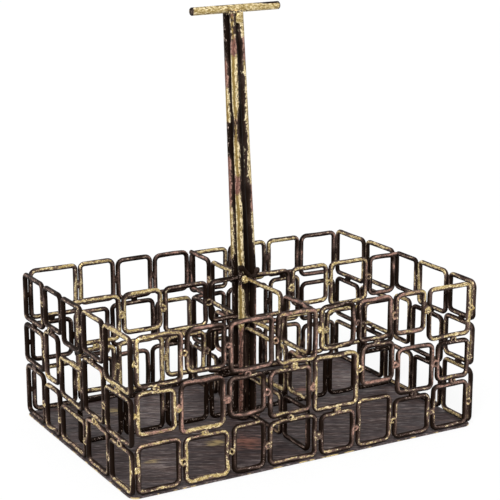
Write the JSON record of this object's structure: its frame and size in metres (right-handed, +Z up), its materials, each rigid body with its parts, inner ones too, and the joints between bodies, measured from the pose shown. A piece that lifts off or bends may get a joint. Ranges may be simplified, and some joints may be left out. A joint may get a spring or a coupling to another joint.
{
  "type": "condiment caddy",
  "caption": "Free-standing table caddy: walls and dividers of welded wire rings on a flat plate, and a T handle on a rod post.",
  "frame": {"origin": "middle of the base plate's underside", "axes": "+X along the caddy's length to the right as seen from the front, +Y from front to back, +Z up along the handle"},
  "size_m": [0.2446, 0.1632, 0.2706],
  "materials": {
    "wire": "near-black brown with worn antique gold and copper on the edges",
    "plate": "dark warm grey, brushed along its length, with faint gold and copper streaks",
    "rod": "near-black with speckled antique gold",
    "bar": "antique gold rubbed over black"
  },
  "bodies": {
    "root": {"front_wall_top_rings": "wire", "front_wall_middle_rings": "wire", "front_wall_bottom_rings": "wire", "back_wall_top_rings": "wire", "back_wall_middle_rings": "wire", "back_wall_bottom_rings": "wire", "left_wall_top_rings": "wire", "left_wall_middle_rings": "wire", "left_wall_bottom_rings": "wire", "right_wall_top_rings": "wire", "right_wall_middle_rings": "wire", "right_wall_bottom_rings": "wire", "long_divider_left_top_rings": "wire", "long_divider_left_middle_rings": "wire", "long_divider_left_bottom_rings": "wire", "long_divider_right_top_rings": "wire", "long_divider_right_middle_rings": "wire", "long_divider_right_bottom_rings": "wire", "cross_divider_front_top_rings": "wire", "cross_divider_front_middle_rings": "wire", "cross_divider_front_bottom_rings": "wire", "cross_divider_back_top_rings": "wire", "cross_divider_back_middle_rings": "wire", "cross_divider_back_bottom_rings": "wire", "base_plate": "plate", "handle_rod_front_left": "rod", "handle_rod_front_right": "rod", "handle_rod_back_left": "rod", "handle_rod_back_right": "rod", "handle_bar": "bar"}
  },
  "joints": []
}
